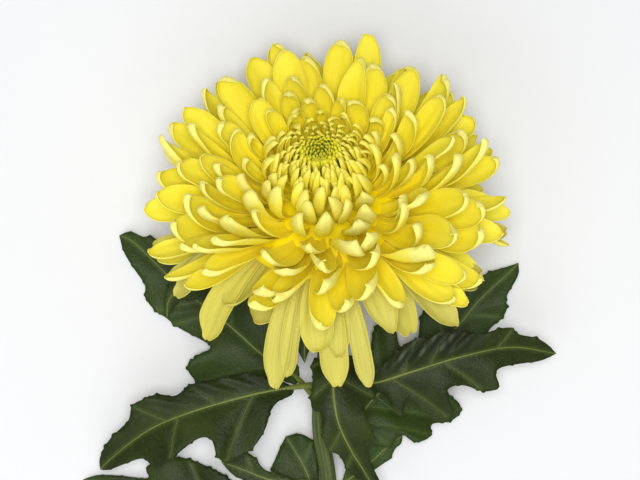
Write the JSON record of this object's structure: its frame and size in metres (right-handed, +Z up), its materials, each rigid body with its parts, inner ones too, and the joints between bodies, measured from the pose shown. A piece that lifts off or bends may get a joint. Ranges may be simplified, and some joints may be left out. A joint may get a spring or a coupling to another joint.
{
  "type": "cut chrysanthemum",
  "caption": "Large double yellow chrysanthemum bloom on a short cut stem with lobed green leaves, lying on its side for vases, bouquets and still lifes.",
  "frame": {"origin": "middle of the flat spot on which the bloom rests, on the surface the flower lies on", "axes": "+Z up from the surface, -Y along the stem to its cut end, +Y past the top of the bloom, +X to the right as the bloom faces the viewer"},
  "size_m": [0.206, 0.251, 0.1255],
  "materials": {
    "petal": "satin",
    "young_petal": "satin",
    "bract": "matte",
    "stem": "satin",
    "leaf": "satin"
  },
  "bodies": {
    "root": {"ray_florets": "petal", "young_florets": "young_petal", "involucre": "bract", "stem": "stem", "leaf_left_upper": "leaf", "leaf_left_lower": "leaf", "leaf_right_upper": "leaf", "leaf_right_front": "leaf", "leaf_middle": "leaf", "leaf_stem_left": "leaf", "leaf_left_bottom": "leaf", "leaf_left_tip": "leaf", "leaf_right_lower": "leaf", "leaf_neck_left": "leaf", "leaf_neck_front": "leaf"}
  },
  "joints": []
}
